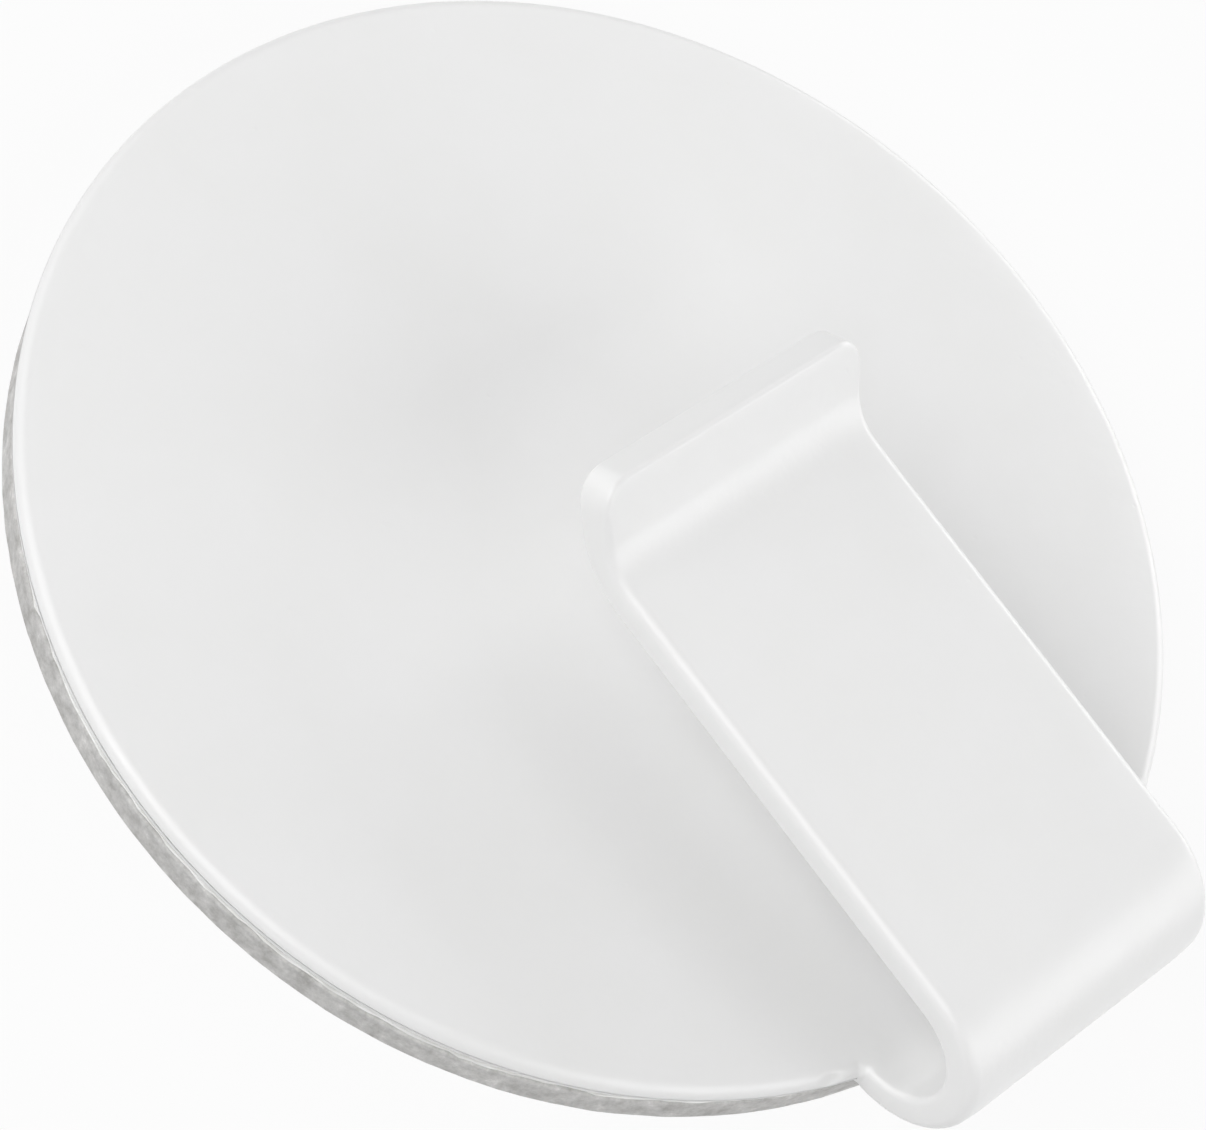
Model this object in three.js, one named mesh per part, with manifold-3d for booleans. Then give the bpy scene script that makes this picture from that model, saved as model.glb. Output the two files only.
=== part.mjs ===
// Magnetic hook: a round plate of coated sheet steel whose lower rim runs on into a strip, bent back up
// as a hook, with a flexible magnet disc bonded to its back.
// Millimetres. Origin at the centre of the magnet's back face, +Z out of the front, +Y up in use.

import * as THREE from 'three';
import { mergeVertices } from 'three/addons/utils/BufferGeometryUtils.js';
import Module from 'manifold-3d';

const wasm = await Module();
wasm.setup();

// Plate
const plateDiameter = 48;
const sheetThickness = 1.5;
const plateEdgeRadius = 0.65;

// Hook strip, bent from the same sheet
const hookWidth = 13.8;
const hookEdgeRadius = 0.5;
const bendInset = 1.3; // the bend starts this far inside the rim
const bendInnerRadius = 2.5;
const armLean = 1.7; // degrees by which the arm leans away from the plate
const armLength = 18.3;
const flareInnerRadius = 2.6;
const flareAngle = 52; // degrees
const tipStraight = 2.1; // between the flare's bend and the rounding of the tip

// Pressed relief marks beside the root of the hook
const reliefRadius = 0.5;
const reliefDepth = 0.3;
const reliefGap = 1.35; // from the strip's side to the middle of the mark
const reliefInset = 0.25; // from the rim to the middle of the mark

// Magnet and the film that bonds it
const magnetThickness = 1.3;
const magnetInset = 0.2; // the magnet's edge lies this far inside the rim
const magnetChamfer = 0.15;
const filmThickness = 0.1;
const filmInset = 0.3; // the film's edge lies this far inside the magnet's

// Fineness of the round forms
const discSegments = 96;
const edgeSegments = 4;
const arcStep = THREE.MathUtils.degToRad(9);
const edgeStep = Math.PI / 2 / edgeSegments;

// Sizes that follow from the ones above
const plateRadius = plateDiameter / 2;
const magnetRadius = plateRadius - magnetInset;
const filmRadius = magnetRadius - filmInset;
const filmBottom = magnetThickness;
const plateBack = filmBottom + filmThickness;
const plateFront = plateBack + sheetThickness;
const bendLine = plateRadius - bendInset;
const hookEdge = Math.min(hookEdgeRadius, 0.4 * sheetThickness); // no more than the sheet has room for
const tipEdge = 1.1 * hookEdge; // the tip is rounded a little more than the long edges
const rootLap = sheetThickness + hookEdge; // how far the strip's solid runs into the plate's

const coatMaterial = new THREE.MeshStandardMaterial({ color: 0xf1f1ef, roughness: 0.35, metalness: 0 });
const filmMaterial = new THREE.MeshStandardMaterial({ color: 0xd8d8d4, roughness: 0.2, metalness: 0 });
const magnetMaterial = new THREE.MeshStandardMaterial({ color: 0xa7a5a2, roughness: 0.8, metalness: 0 });

// Points along an arc, both ends included, with angles in radians
function arcPoints(centre, radius, start, end, step = arcStep) {
  const steps = Math.max(2, Math.ceil(Math.abs(end - start) / step));
  const points = [];
  for (let i = 0; i <= steps; i += 1) {
    const angle = start + (end - start) * i / steps;
    points.push(new THREE.Vector2(centre.x + radius * Math.cos(angle), centre.y + radius * Math.sin(angle)));
  }
  return points;
}

// A closed mesh as a solid that can be joined and cut
function toSolid(geometry) {
  const bare = geometry.clone();
  bare.deleteAttribute('normal');
  bare.deleteAttribute('uv');
  const merged = mergeVertices(bare);
  const index = merged.index.array;
  const triangles = [];
  for (let i = 0; i < index.length; i += 3) {
    const [a, b, c] = [index[i], index[i + 1], index[i + 2]];
    if (a !== b && b !== c && c !== a) {
      triangles.push(a, b, c);
    }
  }
  const vertProperties = new Float32Array(merged.attributes.position.array);
  const triVerts = new Uint32Array(triangles);
  return new wasm.Manifold(new wasm.Mesh({ numProp: 3, vertProperties, triVerts }));
}

function toGeometry(solid) {
  const mesh = solid.getMesh();
  const geometry = new THREE.BufferGeometry();
  geometry.setAttribute('position', new THREE.BufferAttribute(mesh.vertProperties, 3));
  geometry.setIndex(new THREE.BufferAttribute(mesh.triVerts, 1));
  geometry.computeVertexNormals();
  return geometry;
}

// A profile of [radius, height] points turned about Z
function turned(profile) {
  const points = profile.map(([radius, height]) => new THREE.Vector2(radius, height));
  const geometry = new THREE.LatheGeometry(points, discSegments);
  const upright = new THREE.Matrix4().makeBasis(
    new THREE.Vector3(1, 0, 0),
    new THREE.Vector3(0, 0, 1),
    new THREE.Vector3(0, -1, 0),
  );
  return geometry.applyMatrix4(upright);
}

// The round plate, with both rim edges rounded
function plateDisc() {
  const edge = Math.min(plateEdgeRadius, sheetThickness / 2);
  const rimCentre = plateRadius - edge;
  const lower = arcPoints(new THREE.Vector2(rimCentre, plateBack + edge), edge, -Math.PI / 2, 0, edgeStep);
  const upper = arcPoints(new THREE.Vector2(rimCentre, plateFront - edge), edge, 0, Math.PI / 2, edgeStep);
  const rim = [...lower, ...upper].map((point) => [point.x, point.y]);
  return toSolid(turned([[0, plateBack], ...rim, [0, plateFront]]));
}

// The rim that the strip takes the place of, past the bend line
function rimCut() {
  const width = hookWidth - 2 * hookEdge;
  const reach = plateRadius;
  const height = 2 * plateFront;
  const box = new THREE.BoxGeometry(width, reach, height);
  return toSolid(box.translate(0, -bendLine - reach / 2, plateFront / 2));
}

// Side outline of the strip, as distance from the plate's centre and height above the plate's back
function stripOutline() {
  const lean = THREE.MathUtils.degToRad(armLean);
  const flare = THREE.MathUtils.degToRad(flareAngle);
  const quarter = Math.PI / 2;
  const bendCentre = new THREE.Vector2(bendLine, sheetThickness + bendInnerRadius);
  const bendOuterRadius = bendInnerRadius + sheetThickness;
  const bendEnd = quarter - lean;

  const armOut = new THREE.Vector2(Math.sin(lean), Math.cos(lean));
  const armAlong = new THREE.Vector2(-Math.cos(lean), Math.sin(lean));
  const flareCentre = bendCentre.clone()
    .addScaledVector(armAlong, armLength)
    .addScaledVector(armOut, bendOuterRadius + flareInnerRadius);
  const flareOuterRadius = flareInnerRadius + sheetThickness;
  const flareStart = -quarter - lean;
  const flareEnd = flareStart - flare;

  const tipOut = new THREE.Vector2(-Math.cos(flareEnd), -Math.sin(flareEnd));
  const tipAlong = new THREE.Vector2(-tipOut.y, tipOut.x);
  const tipHeading = Math.atan2(tipAlong.y, tipAlong.x);
  const cornerBase = flareCentre.clone().addScaledVector(tipAlong, tipStraight);
  const frontCorner = cornerBase.clone().addScaledVector(tipOut, -flareInnerRadius - tipEdge);
  const backCorner = cornerBase.clone().addScaledVector(tipOut, -flareOuterRadius + tipEdge);

  return [
    new THREE.Vector2(bendLine - rootLap, 0),
    ...arcPoints(bendCentre, bendOuterRadius, -quarter, bendEnd),
    ...arcPoints(flareCentre, flareInnerRadius, flareStart, flareEnd),
    ...arcPoints(frontCorner, tipEdge, tipHeading - quarter, tipHeading, edgeStep),
    ...arcPoints(backCorner, tipEdge, tipHeading, tipHeading + quarter, edgeStep),
    ...arcPoints(flareCentre, flareOuterRadius, flareEnd, flareStart),
    ...arcPoints(bendCentre, bendInnerRadius, bendEnd, -quarter),
    new THREE.Vector2(bendLine - rootLap, sheetThickness),
  ];
}

// The strip, with its long edges and the corners of its tip rounded
function hookStrip() {
  const depth = hookWidth - 2 * hookEdge;
  const geometry = new THREE.ExtrudeGeometry(new THREE.Shape(stripOutline()), {
    depth,
    bevelThickness: hookEdge,
    bevelSize: hookEdge,
    bevelOffset: -hookEdge,
    bevelSegments: edgeSegments,
  });
  geometry.translate(0, 0, -depth / 2);
  const standing = new THREE.Matrix4().makeBasis(
    new THREE.Vector3(0, -1, 0),
    new THREE.Vector3(0, 0, 1),
    new THREE.Vector3(-1, 0, 0),
  );
  geometry.applyMatrix4(standing);
  geometry.translate(0, 0, plateBack);
  return toSolid(geometry);
}

// One pressed mark beside the hook's root; side is -1 or 1
function reliefMark(side) {
  const x = side * (hookWidth / 2 + reliefGap);
  const y = -Math.sqrt((plateRadius - reliefInset) ** 2 - x * x);
  const z = plateFront - reliefDepth + reliefRadius;
  const ball = new THREE.SphereGeometry(reliefRadius, 4 * edgeSegments, 3 * edgeSegments);
  return toSolid(ball.translate(x, y, z));
}

function hookPlate() {
  let solid = plateDisc().subtract(rimCut()).add(hookStrip());
  for (const side of [-1, 1]) {
    solid = solid.subtract(reliefMark(side));
  }
  return toGeometry(solid);
}

function bondingFilm() {
  return turned([[0, filmBottom], [filmRadius, filmBottom], [filmRadius, plateBack], [0, plateBack]]);
}

function magnetDisc() {
  return turned([
    [0, 0],
    [magnetRadius - magnetChamfer, 0],
    [magnetRadius, magnetChamfer],
    [magnetRadius, magnetThickness - magnetChamfer],
    [magnetRadius - magnetChamfer, magnetThickness],
    [0, magnetThickness],
  ]);
}

function piece(name, geometry, material) {
  const mesh = new THREE.Mesh(geometry, material);
  mesh.name = name;
  return mesh;
}

const magneticHook = new THREE.Group();
magneticHook.add(
  piece('hook_plate', hookPlate(), coatMaterial),
  piece('bonding_film', bondingFilm(), filmMaterial),
  piece('magnet_disc', magnetDisc(), magnetMaterial),
);

export default magneticHook;
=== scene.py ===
# Looks of the magnetic hook: plate and strip bent from one coated sheet, a bonding film and a magnet disc.
# Metres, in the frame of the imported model: the magnet's back lies on z = 0, the hook's mouth faces +Y.

import math

import bpy
from mathutils import Matrix, Vector, noise

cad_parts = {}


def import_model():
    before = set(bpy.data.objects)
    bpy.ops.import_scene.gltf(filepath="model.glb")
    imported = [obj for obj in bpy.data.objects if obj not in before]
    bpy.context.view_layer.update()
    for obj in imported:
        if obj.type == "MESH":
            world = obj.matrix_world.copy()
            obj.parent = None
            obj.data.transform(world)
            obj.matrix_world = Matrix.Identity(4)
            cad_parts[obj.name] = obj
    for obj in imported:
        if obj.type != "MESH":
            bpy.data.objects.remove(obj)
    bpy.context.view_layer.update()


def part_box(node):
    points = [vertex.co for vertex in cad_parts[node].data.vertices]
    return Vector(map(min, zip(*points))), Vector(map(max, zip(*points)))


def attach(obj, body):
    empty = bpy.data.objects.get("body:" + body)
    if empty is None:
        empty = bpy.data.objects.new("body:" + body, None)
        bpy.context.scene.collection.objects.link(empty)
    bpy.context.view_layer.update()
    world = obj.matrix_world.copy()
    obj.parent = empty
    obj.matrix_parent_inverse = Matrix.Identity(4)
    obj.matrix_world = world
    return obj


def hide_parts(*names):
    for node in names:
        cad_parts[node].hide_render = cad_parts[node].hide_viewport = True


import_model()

MM = 0.001
plate_low, plate_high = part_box("hook_plate")
film_low, film_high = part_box("bonding_film")
magnet_low, magnet_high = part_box("magnet_disc")

# Sheet, plate and strip
SHEET = 1.5 * MM
PLATE_RADIUS = plate_high.x
STRIP_WIDTH = 13.8 * MM
ROOT_FILLET = 0.25 * MM  # in the corner between the rim and the strip
TIP_CORNER = 1.2 * MM
TIP_REACH = 3 * MM  # over this length the strip's rounding turns into the tip's

# Rounding of the sheet's edges: radius and width of the soft fall beside it, on the front and the back
PLATE_ROUNDING = Vector((0.6, 1.9, 0.88, 0.6)) * MM
STRIP_ROUNDING = Vector((0.3, 0.4, 0.5, 1.2)) * MM
TIP_ROUNDING = Vector((0.15, 0.2, 0.2, 0.25)) * MM
FALL_LEAN = math.radians(4.5)  # steepest lean of that soft fall

# Bends of the strip, along the middle of the sheet
BEND_MIDDLE = 2.5 * MM + SHEET / 2
BEND_LINE = -plate_low.y - BEND_MIDDLE - SHEET / 2
BEND_ANGLE = math.pi - math.radians(1.7)
ARM_LENGTH = 18.3 * MM
FLARE_MIDDLE = 2.6 * MM + SHEET / 2
FLARE_ANGLE = math.radians(52)
TIP_LENGTH = 2.46 * MM
STRIP_RUNS = [
    (BEND_MIDDLE * BEND_ANGLE, BEND_ANGLE),
    (ARM_LENGTH, 0),
    (FLARE_MIDDLE * FLARE_ANGLE, -FLARE_ANGLE),
    (TIP_LENGTH, 0),
]
STRIP_END = BEND_LINE + sum(length for length, turn in STRIP_RUNS)

# Pressed relief marks beside the root of the strip
RELIEF_GAP = 1.35 * MM  # from the strip's side to the middle of the mark
RELIEF_INSET = 0.14 * MM  # from the rim to the middle of the mark
RELIEF_LENGTH = 0.4 * MM  # half the mark's length round the rim
RELIEF_WIDTH = 0.15 * MM  # half its width across the rim
RELIEF_DEPTH = 0.2 * MM

# Magnet and film
MAGNET_TOP_EDGE = 0.12 * MM
MAGNET_BACK_EDGE = 0.05 * MM
MAGNET_WOBBLE = 0.025 * MM
FILM_BULGE = 0.21 * MM  # the adhesive is squeezed out this far past the film
FILM_WOBBLE = 0.12 * MM
COARSE_WOBBLE = 1.25 * MM  # spacing of the larger waves in an uneven edge
FINE_WOBBLE = COARSE_WOBBLE / 3

# Fineness of the meshes
RIM_STEP = 0.55 * MM
ROOT_STEP = 0.12 * MM
ROOT_FINE = 4.5 * MM  # length of rim beside the root that has the finer step
ROOT_MARGIN = 1.3 * MM  # rows across the sheet begin this far before the bend
BEND_STEP = 0.22 * MM
ARM_STEP = 0.7 * MM
COLUMNS = 16
FALL_STEPS = 12
EDGE_STEPS = 10
ARC_STEPS = 8
DISC_RINGS = [0.97, 0.9, 0.78, 0.62, 0.44, 0.26, 0.1]  # as shares of the rim's radius
MAGNET_RINGS = [0.25, 0.5, 0.75, 0.92, 0.965]
MAGNET_STEP = 0.15 * MM
FILM_RINGS = [0.3, 0.6, 0.9, 0.98]
FILM_EDGE_STEPS = 6
TURNED_SEGMENTS = 360

# Studio floor, with half its side in metres
FLOOR_HALF = 1.5
PAPER_TONE = 0.72
PLAIN_WHITE = 0.92  # share of plain white in what is seen of the paper, the rest being its lit surface

# Studio light: name, azimuth and elevation in degrees, and level of each soft box
AMBIENT = 0.05
LAMP_DISTANCE = 0.5
LAMP_SIZE = 0.4
LAMPS = [
    ("left_lamp", -130, 30, 0.44),
    ("side_lamp", -90, 43, 0.43),
    ("front_lamp", 0, 30, 0.42),
    ("right_lamp", 45, 12, 0.35),
    ("far_lamp", 90, 12, 0.53),
    ("back_lamp", -180, 12, 0.25),
    ("top_lamp", 140, 50, 0.17),
]

# Camera that sees the part as the photograph does
CAMERA_AIM = Vector((-1.303, -1.193, 1.773)) * MM
CAMERA_AZIMUTH = math.radians(-74.478)
CAMERA_ELEVATION = math.radians(54.399)
CAMERA_ROLL = math.radians(38.890)
CAMERA_DISTANCE = 175.72 * MM
CAMERA_LENS = 134.97


def spread(start, end, step):
    """Evenly spaced values from start towards end, end left out, no further apart than step."""
    count = max(1, math.ceil(abs(end - start) / step))
    return [start + (end - start) * i / count for i in range(count)]


def sheet_middle(along):
    """Reach, height and heading of the sheet's middle at a distance along the flat blank."""
    reach = min(along, BEND_LINE)
    height = plate_low.z + SHEET / 2
    heading = 0
    left = along - BEND_LINE
    for length, turn in STRIP_RUNS:
        part = min(max(left, 0), length)
        left -= length
        if turn:
            radius = length / turn
            after = heading + part / radius
            reach += radius * (math.sin(after) - math.sin(heading))
            height += radius * (math.cos(heading) - math.cos(after))
            heading = after
        else:
            reach += part * math.cos(heading)
            height += part * math.sin(heading)
    return reach, height, heading


def bent(x, along, offset):
    """A point of the flat blank, offset from the sheet's middle towards its front, on the bent part."""
    reach, height, heading = sheet_middle(along)
    return Vector((x, offset * math.sin(heading) - reach, height + offset * math.cos(heading)))


class EdgePoint:
    """A point on the blank's outline, with the way into the sheet and the rounding of its edge."""

    def __init__(self, x, along, inward, rounding):
        self.x = x
        self.along = along
        self.inward = inward
        self.rounding = rounding

    def mirrored(self):
        inward = (-self.inward[0], self.inward[1])
        return EdgePoint(-self.x, self.along, inward, self.rounding)


def rim_points(last_angle):
    """The plate's rim from its top round to the fillet beside the strip."""
    fine_angle = last_angle - ROOT_FINE / PLATE_RADIUS
    angles = spread(0, fine_angle, RIM_STEP / PLATE_RADIUS)
    angles += spread(fine_angle, last_angle, ROOT_STEP / PLATE_RADIUS)
    points = []
    for angle in angles:
        across = math.sin(angle)
        down = -math.cos(angle)
        inward = (-across, -down)
        points.append(EdgePoint(PLATE_RADIUS * across, PLATE_RADIUS * down, inward, PLATE_ROUNDING))
    return points


def fillet_points(centre_x, centre_along):
    """The hollow corner between rim and strip, where the rim's rounding turns into the strip's."""
    first_angle = math.atan2(-centre_along, -centre_x)
    points = []
    for i in range(ARC_STEPS):
        share = i / ARC_STEPS
        angle = first_angle + (-math.pi - first_angle) * share
        inward = (math.cos(angle), math.sin(angle))
        x = centre_x + ROOT_FILLET * inward[0]
        along = centre_along + ROOT_FILLET * inward[1]
        points.append(EdgePoint(x, along, inward, PLATE_ROUNDING.lerp(STRIP_ROUNDING, share)))
    return points


def side_points(first_along):
    """The strip's side from its root to the rounded corner of the tip."""
    bend_end = BEND_LINE + STRIP_RUNS[0][0]
    flare_start = bend_end + ARM_LENGTH
    last_along = STRIP_END - TIP_CORNER
    stations = spread(first_along, bend_end, BEND_STEP)
    stations += spread(bend_end, flare_start, ARM_STEP)
    stations += spread(flare_start, last_along, BEND_STEP)
    points = []
    for along in stations:
        rounding = TIP_ROUNDING.lerp(STRIP_ROUNDING, min(1, (last_along - along) / TIP_REACH))
        points.append(EdgePoint(STRIP_WIDTH / 2, along, (-1, 0), rounding))
    return points


def corner_points():
    """The rounded corner of the tip."""
    points = []
    for i in range(ARC_STEPS + 1):
        angle = math.pi / 2 * i / ARC_STEPS
        across = math.cos(angle)
        out = math.sin(angle)
        x = STRIP_WIDTH / 2 - TIP_CORNER * (1 - across)
        along = STRIP_END - TIP_CORNER * (1 - out)
        points.append(EdgePoint(x, along, (-across, -out), TIP_ROUNDING))
    return points


def half_outline():
    """The right half of the blank's outline, from the top of the plate to the end of the strip."""
    centre_x = STRIP_WIDTH / 2 + ROOT_FILLET
    centre_along = math.sqrt((PLATE_RADIUS + ROOT_FILLET) ** 2 - centre_x ** 2)
    points = rim_points(math.pi - math.atan2(centre_x, centre_along))
    points += fillet_points(centre_x, centre_along)
    points += side_points(centre_along)
    points += corner_points()
    return points


def edge_side(radius, fall_width):
    """Inset and height over the sheet's middle, from the flat round one edge to the sheet's cut side."""
    fall = fall_width * math.tan(FALL_LEAN) / 2
    arc_centre = SHEET / 2 - fall - radius * math.cos(FALL_LEAN)
    profile = []
    for i in range(FALL_STEPS):
        share = (1 - i / FALL_STEPS) ** 1.5
        inset = radius * (1 - math.sin(FALL_LEAN)) + fall_width * share
        profile.append((inset, SHEET / 2 - fall * (1 - share) ** 2))
    for i in range(EDGE_STEPS + 1):
        angle = (math.pi / 2 - FALL_LEAN) * (1 - i / EDGE_STEPS)
        profile.append((radius * (1 - math.cos(angle)), arc_centre + radius * math.sin(angle)))
    return profile


def edge_profile(rounding):
    """The whole rounded edge, from the flat front to the flat back."""
    front_radius, front_fall, back_radius, back_fall = rounding
    back = edge_side(back_radius, back_fall)
    return edge_side(front_radius, front_fall) + [(inset, -height) for inset, height in reversed(back)]


def relief_fall(x, along):
    """Depth of the pressed mark at a place on the plate's front."""
    middle_angle = math.asin((STRIP_WIDTH / 2 + RELIEF_GAP) / PLATE_RADIUS)
    round_rim = PLATE_RADIUS * (math.atan2(abs(x), along) - middle_angle) / RELIEF_LENGTH
    across_rim = (PLATE_RADIUS - math.hypot(x, along) - RELIEF_INSET) / RELIEF_WIDTH
    return RELIEF_DEPTH * math.exp(-(round_rim ** 2 + across_rim ** 2) ** 1.5)


class Blank:
    """The flat sheet's mesh, as points of the blank and faces between them."""

    def __init__(self):
        self.half = half_outline()
        self.points = []
        self.faces = []
        self.outline = list(self.half)
        tip_half = STRIP_WIDTH / 2 - TIP_CORNER
        for i in range(1, COLUMNS):
            x = tip_half * (1 - 2 * i / COLUMNS)
            self.outline.append(EdgePoint(x, STRIP_END, (0, -1), TIP_ROUNDING))
        self.outline += [point.mirrored() for point in reversed(self.half[1:])]

    def add(self, x, along, offset):
        if offset > 0:
            offset -= relief_fall(x, along)
        self.points.append((x, along, offset))
        return len(self.points) - 1

    def bridge(self, first, second, closed):
        """Quads between two rows of equally many points."""
        count = len(first)
        for i in range(count if closed else count - 1):
            j = (i + 1) % count
            self.faces.append((first[i], first[j], second[j], second[i]))

    def edge_loops(self):
        """The loops round the rounded edge, and the innermost one on each side."""
        profiles = [edge_profile(point.rounding) for point in self.outline]
        loops = []
        for place in range(len(profiles[0])):
            loop = []
            for point, profile in zip(self.outline, profiles):
                inset, offset = profile[place]
                x = point.x + point.inward[0] * inset
                along = point.along + point.inward[1] * inset
                loop.append(self.add(x, along, offset))
            loops.append(loop)
        for first, second in zip(loops, loops[1:]):
            self.bridge(first, second, True)
        return loops[0], loops[-1]

    def cross_row(self, loop, place, height):
        """A row of points across the strip, from the left edge to the right one."""
        left = loop[-place]
        right = loop[place]
        row = [left]
        for column in range(1, COLUMNS):
            share = column / COLUMNS
            x = self.points[left][0] * (1 - share) + self.points[right][0] * share
            row.append(self.add(x, self.points[right][1], height))
        return row + [right]

    def cover(self, loop, height):
        """The flat side within one of the inner loops: rows across the strip, and rings in the plate."""
        start = next(i for i, point in enumerate(self.half) if point.along > BEND_LINE - ROOT_MARGIN)
        last = len(self.half) - 1
        rows = [self.cross_row(loop, place, height) for place in range(start, last)]
        rows.append([loop[last + COLUMNS - i] for i in range(COLUMNS + 1)])
        made = len(self.faces)
        for first, second in zip(rows, rows[1:]):
            self.bridge(first, second, False)
        rim = rows[0] + [loop[place] for place in range(start - 1, -start, -1)]
        ring = rim
        for share in DISC_RINGS:
            inner = [self.add(self.points[i][0] * share, self.points[i][1] * share, height) for i in rim]
            self.bridge(inner, ring, True)
            ring = inner
        centre = self.add(0, 0, height)
        for i, point in enumerate(ring):
            self.faces.append((ring[(i + 1) % len(ring)], point, centre))
        if height > 0:
            self.faces[made:] = [face[::-1] for face in self.faces[made:]]


def make_object(name, points, faces, material):
    mesh = bpy.data.meshes.new(name)
    mesh.from_pydata(points, [], faces)
    mesh.validate()
    mesh.shade_smooth()
    mesh.materials.append(material)
    piece = bpy.data.objects.new(name, mesh)
    bpy.context.scene.collection.objects.link(piece)
    return piece


def hook_plate(material):
    blank = Blank()
    front, back = blank.edge_loops()
    blank.cover(front, SHEET / 2)
    blank.cover(back, -SHEET / 2)
    points = [bent(*point) for point in blank.points]
    return make_object("coated_hook_plate", points, blank.faces, material)


def turned(name, profile, wobble, material):
    """A profile of radius, height and share of the wobble, turned about Z and closed on the axis."""
    points = [Vector((0, 0, profile[0][1])), Vector((0, 0, profile[-1][1]))]
    faces = []
    for radius, height, share in profile:
        for i in range(TURNED_SEGMENTS):
            angle = 2 * math.pi * i / TURNED_SEGMENTS
            way = Vector((math.cos(angle), math.sin(angle), 0))
            place = way * radius + Vector((0, 0, height * 2))
            uneven = noise.noise(place / COARSE_WOBBLE) + noise.noise(place / FINE_WOBBLE) / 2
            points.append(way * (radius + wobble * share * uneven) + Vector((0, 0, height)))
    rings = len(profile)
    for i in range(TURNED_SEGMENTS):
        j = (i + 1) % TURNED_SEGMENTS
        for ring in range(rings - 1):
            low = 2 + ring * TURNED_SEGMENTS
            high = low + TURNED_SEGMENTS
            faces.append((low + i, low + j, high + j, high + i))
        last = 2 + (rings - 1) * TURNED_SEGMENTS
        faces.append((0, 2 + j, 2 + i))
        faces.append((1, last + i, last + j))
    return make_object(name, points, faces, material)


def quarter_round(radius, height, edge, first):
    """Profile points round one edge of a turned piece, from an angle on through a quarter turn."""
    points = []
    for i in range(EDGE_STEPS + 1):
        angle = first + math.pi / 2 * i / EDGE_STEPS
        points.append((radius - edge * (1 - math.cos(angle)), height + edge * math.sin(angle), 1))
    return points


def magnet_profile():
    """Radius, height and share of the wobble from the back's middle to the front's middle."""
    radius = magnet_high.x
    bottom = magnet_low.z + MAGNET_BACK_EDGE
    top = magnet_high.z - MAGNET_TOP_EDGE
    profile = [(radius * share, magnet_low.z, 0) for share in MAGNET_RINGS]
    profile += quarter_round(radius, bottom, MAGNET_BACK_EDGE, -math.pi / 2)
    profile += [(radius, height, 1) for height in spread(bottom, top, MAGNET_STEP)[1:]]
    profile += quarter_round(radius, top, MAGNET_TOP_EDGE, 0)
    profile += [(radius * share, magnet_high.z, 0) for share in reversed(MAGNET_RINGS)]
    return profile


def film_profile():
    """A thin layer whose edge bulges a little."""
    radius = film_high.x + FILM_BULGE
    middle = (film_low.z + film_high.z) / 2
    half = (film_high.z - film_low.z) / 2
    profile = [(radius * share, film_low.z, 0) for share in FILM_RINGS]
    for i in range(FILM_EDGE_STEPS + 1):
        angle = -math.pi / 2 + math.pi * i / FILM_EDGE_STEPS
        profile.append((radius - half * (1 - math.cos(angle)), middle + half * math.sin(angle), 1))
    profile += [(radius * share, film_high.z, 0) for share in reversed(FILM_RINGS)]
    return profile


class Shader:
    """A new material with its Principled shader, and short ways to add textures to it."""

    def __init__(self, name):
        self.material = bpy.data.materials.new(name)
        self.material.use_nodes = True
        self.tree = self.material.node_tree
        self.surface = self.tree.nodes["Principled BSDF"]
        self.place = self.tree.nodes.new("ShaderNodeTexCoord").outputs["Object"]

    def link(self, output, target):
        self.tree.links.new(output, target)

    def noise(self, size, detail=2.0, rough=0.5):
        """Cloudy values from 0 to 1, with patches of about the given size."""
        node = self.tree.nodes.new("ShaderNodeTexNoise")
        node.inputs["Scale"].default_value = 1 / size
        node.inputs["Detail"].default_value = detail
        node.inputs["Roughness"].default_value = rough
        self.link(self.place, node.inputs["Vector"])
        return node.outputs["Fac"]

    def spots(self, gap, radius):
        """Values that fall from 1 to 0 in small round spots, scattered about the given gap apart."""
        node = self.tree.nodes.new("ShaderNodeTexVoronoi")
        node.inputs["Scale"].default_value = 1 / gap
        self.link(self.place, node.inputs["Vector"])
        return self.span(node.outputs["Distance"], 0, radius / gap, 0, 1)

    def span(self, value, low, high, out_low, out_high):
        """The value's range from low to high, mapped to another range."""
        node = self.tree.nodes.new("ShaderNodeMapRange")
        numbers = {"From Min": low, "From Max": high, "To Min": out_low, "To Max": out_high}
        for name, number in numbers.items():
            node.inputs[name].default_value = number
        self.link(value, node.inputs["Value"])
        return node.outputs["Result"]

    def colours(self, value, stops):
        """Colours along a ramp of (place, linear colour) stops."""
        node = self.tree.nodes.new("ShaderNodeValToRGB")
        ramp = node.color_ramp
        while len(ramp.elements) < len(stops):
            ramp.elements.new(1.0)
        for element, (place, colour) in zip(ramp.elements, stops):
            element.position = place
            element.color = (*colour, 1)
        self.link(value, node.inputs["Fac"])
        return node.outputs["Color"]

    def bump(self, height, distance, below=None):
        """A bumped normal, on top of the one below."""
        node = self.tree.nodes.new("ShaderNodeBump")
        node.inputs["Strength"].default_value = 1.0
        node.inputs["Distance"].default_value = distance
        self.link(height, node.inputs["Height"])
        if below is not None:
            self.link(below, node.inputs["Normal"])
        return node.outputs["Normal"]

    def set(self, **values):
        for name, value in values.items():
            self.surface.inputs[name.replace("_", " ")].default_value = value


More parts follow.
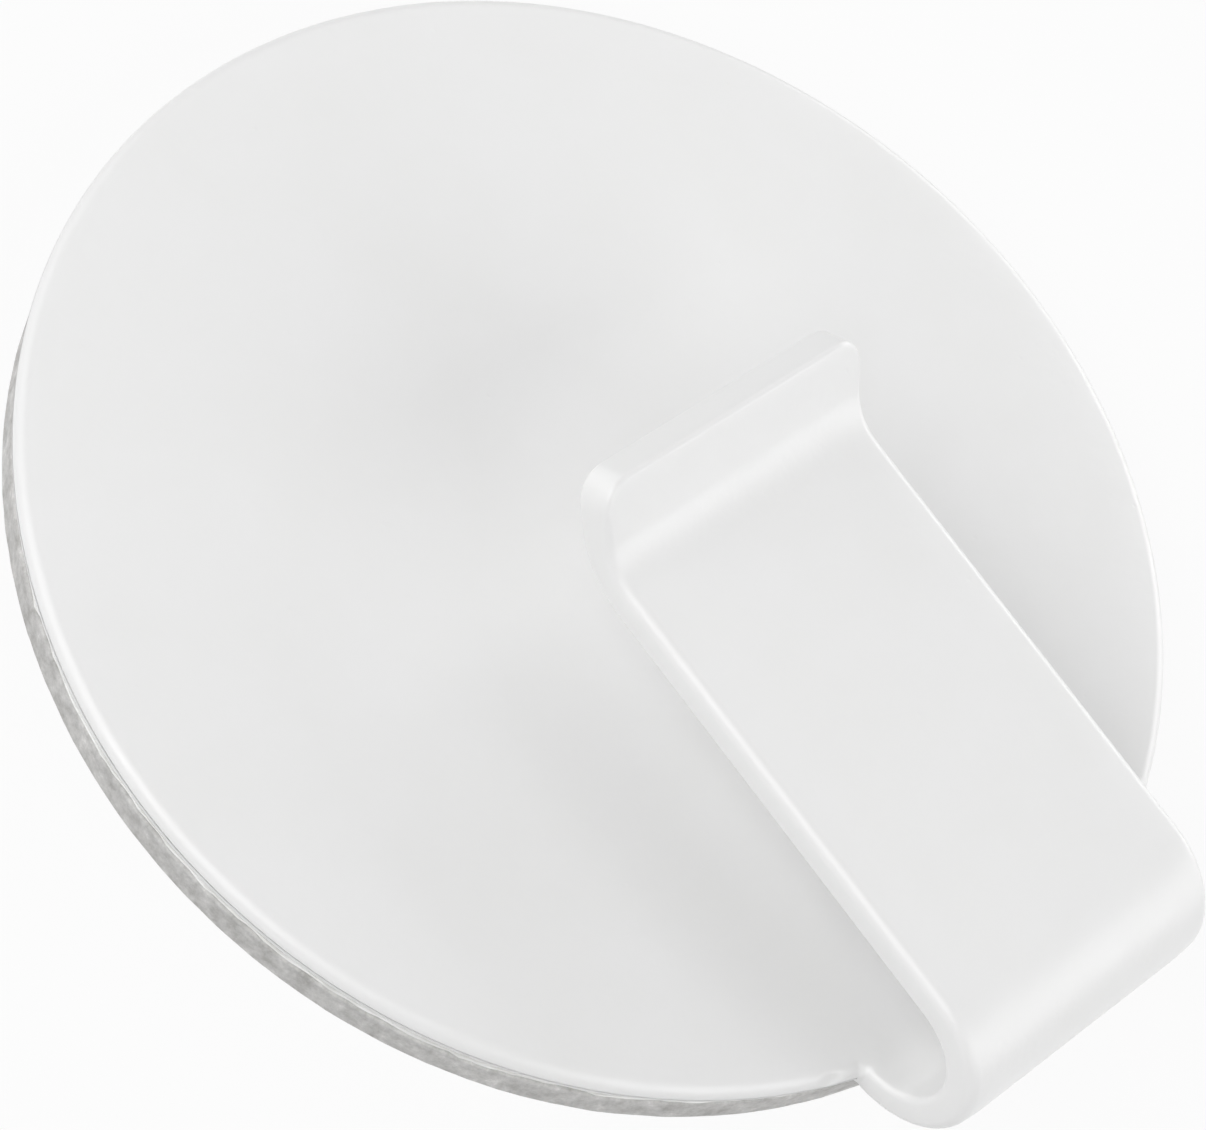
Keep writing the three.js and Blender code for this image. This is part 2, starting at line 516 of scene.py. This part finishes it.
def coat_material():
    """Satin white powder coat with a faint orange peel and a few pinholes."""
    shader = Shader("white_coat")
    patches = shader.noise(5 * MM, 3)
    tint = shader.colours(patches, [(0.3, (0.808, 0.808, 0.804)), (0.7, (0.82, 0.82, 0.82))])
    shader.link(tint, shader.surface.inputs["Base Color"])
    gloss = shader.span(shader.noise(1.6 * MM, 3), 0.3, 0.7, 0.3, 0.38)
    shader.link(gloss, shader.surface.inputs["Roughness"])
    peel = shader.bump(shader.noise(1.0 * MM, 2), 0.022 * MM)
    grain = shader.bump(shader.noise(0.22 * MM, 2), 0.002 * MM, peel)
    pinholes = shader.bump(shader.spots(2.6 * MM, 0.12 * MM), 0.015 * MM, grain)
    shader.link(pinholes, shader.surface.inputs["Normal"])
    shader.set(IOR=1.6)
    return shader.material


def magnet_material():
    """Matt grey bonded ferrite: a finely mottled, slightly rough cut edge with pale specks."""
    shader = Shader("magnet")
    mottle = shader.noise(0.7 * MM, 6, 0.75)
    tint = shader.colours(mottle, [
        (0.32, (0.36, 0.35, 0.338)),
        (0.48, (0.49, 0.485, 0.476)),
        (0.62, (0.6, 0.592, 0.582)),
        (0.76, (0.8, 0.79, 0.78)),
    ])
    shader.link(tint, shader.surface.inputs["Base Color"])
    gloss = shader.span(shader.noise(0.8 * MM, 3), 0.3, 0.7, 0.6, 0.8)
    shader.link(gloss, shader.surface.inputs["Roughness"])
    pits = shader.bump(shader.noise(0.3 * MM, 4, 0.6), 0.02 * MM)
    shader.link(pits, shader.surface.inputs["Normal"])
    return shader.material


def film_material():
    """Clear-grey adhesive with a glossy edge."""
    shader = Shader("film")
    streaks = shader.noise(1.2 * MM, 3)
    tint = shader.colours(streaks, [(0.35, (0.72, 0.72, 0.70)), (0.65, (0.86, 0.86, 0.85))])
    shader.link(tint, shader.surface.inputs["Base Color"])
    gloss = shader.span(shader.noise(0.7 * MM, 2), 0.3, 0.7, 0.1, 0.25)
    shader.link(gloss, shader.surface.inputs["Roughness"])
    return shader.material


def seen_rays(tree):
    """1 for rays that show the background: from the camera, off a glossy surface or through glass."""
    path = tree.nodes.new("ShaderNodeLightPath")
    seen = path.outputs["Is Camera Ray"]
    for kind in ("Is Glossy Ray", "Is Transmission Ray"):
        either = tree.nodes.new("ShaderNodeMath")
        either.operation = "MAXIMUM"
        tree.links.new(seen, either.inputs[0])
        tree.links.new(path.outputs[kind], either.inputs[1])
        seen = either.outputs["Value"]
    return seen


def floor_material():
    """White studio paper: mostly plain white to the camera, with the object's soft shadow."""
    material = bpy.data.materials.new("studio_floor")
    material.use_nodes = True
    tree = material.node_tree
    tree.nodes.clear()
    paper = tree.nodes.new("ShaderNodeBsdfDiffuse")
    paper.inputs["Color"].default_value = (PAPER_TONE, PAPER_TONE, PAPER_TONE, 1)
    white = tree.nodes.new("ShaderNodeEmission")
    white.inputs["Strength"].default_value = 1.0
    share = tree.nodes.new("ShaderNodeMath")
    share.operation = "MULTIPLY"
    share.inputs[1].default_value = PLAIN_WHITE
    tree.links.new(seen_rays(tree), share.inputs[0])
    mixed = tree.nodes.new("ShaderNodeMixShader")
    tree.links.new(share.outputs["Value"], mixed.inputs["Fac"])
    tree.links.new(paper.outputs["BSDF"], mixed.inputs[1])
    tree.links.new(white.outputs["Emission"], mixed.inputs[2])
    output = tree.nodes.new("ShaderNodeOutputMaterial")
    tree.links.new(mixed.outputs["Shader"], output.inputs["Surface"])
    return material


def floor():
    corners = [(-1, -1), (1, -1), (1, 1), (-1, 1)]
    points = [(FLOOR_HALF * x, FLOOR_HALF * y, 0) for x, y in corners]
    plane = make_object("studio_floor", points, [(0, 1, 2, 3)], floor_material())
    plane.location.z = magnet_low.z


def world(ambient):
    """Even surrounding light, and plain white to the camera."""
    surroundings = bpy.data.worlds.new("studio")
    surroundings.use_nodes = True
    tree = surroundings.node_tree
    tree.nodes.clear()
    light = tree.nodes.new("ShaderNodeBackground")
    light.inputs["Color"].default_value = (1, 1, 1, 1)
    light.inputs["Strength"].default_value = ambient
    white = tree.nodes.new("ShaderNodeBackground")
    white.inputs["Color"].default_value = (1, 1, 1, 1)
    white.inputs["Strength"].default_value = 1.0
    mixed = tree.nodes.new("ShaderNodeMixShader")
    tree.links.new(seen_rays(tree), mixed.inputs["Fac"])
    tree.links.new(light.outputs["Background"], mixed.inputs[1])
    tree.links.new(white.outputs["Background"], mixed.inputs[2])
    output = tree.nodes.new("ShaderNodeOutputWorld")
    tree.links.new(mixed.outputs["Shader"], output.inputs["Surface"])
    bpy.context.scene.world = surroundings


def soft_box(name, azimuth, elevation, level):
    """A square lamp aimed at the part. Its level is the light it gives to a surface that faces it."""
    data = bpy.data.lights.new(name, "AREA")
    data.shape = "SQUARE"
    data.size = LAMP_SIZE
    data.energy = level * (math.pi * LAMP_DISTANCE) ** 2
    lamp = bpy.data.objects.new(name, data)
    way = direction(math.radians(azimuth), math.radians(elevation))
    lamp.location = way * LAMP_DISTANCE
    lamp.rotation_mode = "QUATERNION"
    lamp.rotation_quaternion = (-way).to_track_quat("-Z", "Y")
    bpy.context.scene.collection.objects.link(lamp)


def direction(azimuth, elevation):
    """Unit vector towards an azimuth, with 0 at -Y and a quarter turn at +X, and an elevation."""
    level = math.cos(elevation)
    return Vector((math.sin(azimuth) * level, -math.cos(azimuth) * level, math.sin(elevation)))


def camera():
    data = bpy.data.cameras.new("camera")
    data.lens = CAMERA_LENS
    data.sensor_width = 36
    data.clip_start = 0.001
    data.clip_end = 20
    view = bpy.data.objects.new("camera", data)
    bpy.context.scene.collection.objects.link(view)
    back = direction(CAMERA_AZIMUTH, CAMERA_ELEVATION)
    level_right = Vector((math.cos(CAMERA_AZIMUTH), math.sin(CAMERA_AZIMUTH), 0))
    level_up = back.cross(level_right)
    right = level_right * math.cos(CAMERA_ROLL) + level_up * math.sin(CAMERA_ROLL)
    up = back.cross(right)
    turn = Matrix((right, up, back)).transposed()
    view.matrix_world = Matrix.Translation(CAMERA_AIM + back * CAMERA_DISTANCE) @ turn.to_4x4()
    bpy.context.scene.camera = view


def dress(piece, node):
    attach(piece, "root")
    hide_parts(node)


plate = hook_plate(coat_material())
film = turned("glossy_bonding_film", film_profile(), FILM_WOBBLE, film_material())
magnet = turned("mottled_magnet_disc", magnet_profile(), MAGNET_WOBBLE, magnet_material())
dress(plate, "hook_plate")
dress(film, "bonding_film")
dress(magnet, "magnet_disc")

floor()
world(AMBIENT)
for lamp in LAMPS:
    soft_box(*lamp)
camera()
bpy.context.scene.view_settings.view_transform = "Standard"
